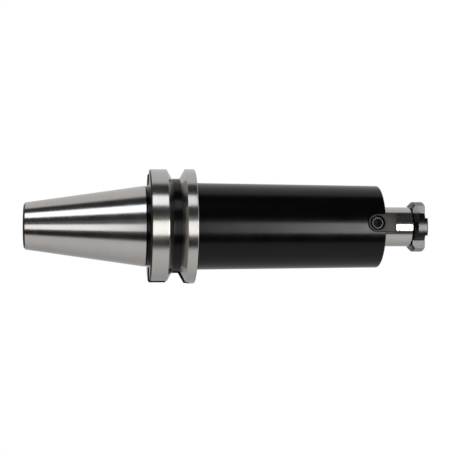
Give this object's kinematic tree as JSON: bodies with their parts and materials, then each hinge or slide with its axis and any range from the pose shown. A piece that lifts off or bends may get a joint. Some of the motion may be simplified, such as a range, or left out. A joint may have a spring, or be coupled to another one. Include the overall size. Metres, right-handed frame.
{
  "type": "shell mill holder",
  "caption": "Shell mill holder with a 7/24 taper shank of size 40, a gripper flange, a long body, and a 22 mm pilot with drive keys and a lock screw.",
  "frame": {"origin": "centre of the shank's gauge plane, on the spindle axis", "axes": "+Z along the spindle axis towards the pull stud end; the nose and the cutter's pilot point to -Z; the drive keys face -Y and +Y and the flange's drive slots face -X and +X"},
  "size_m": [0.063, 0.063, 0.2214],
  "materials": {
    "holder_steel": "taper, flange and pilot ground bright, body black oxide",
    "key_steel": "black oxide, dull",
    "screw_steel": "black oxide, oiled",
    "lock_screw_steel": "black oxide with two bright lobes"
  },
  "bodies": {
    "holder": {"holder_body": "holder_steel", "drive_key_1": "key_steel", "drive_key_2": "key_steel", "drive_key_screw_1": "screw_steel", "drive_key_screw_2": "screw_steel"},
    "lock": {"lock_screw": "lock_screw_steel"}
  },
  "joints": [
    {"name": "lock_screw_travel", "type": "slide", "parent": "holder", "child": "lock", "axis": [0, 0, -1], "range_m": [0, 0.045]}
  ]
}
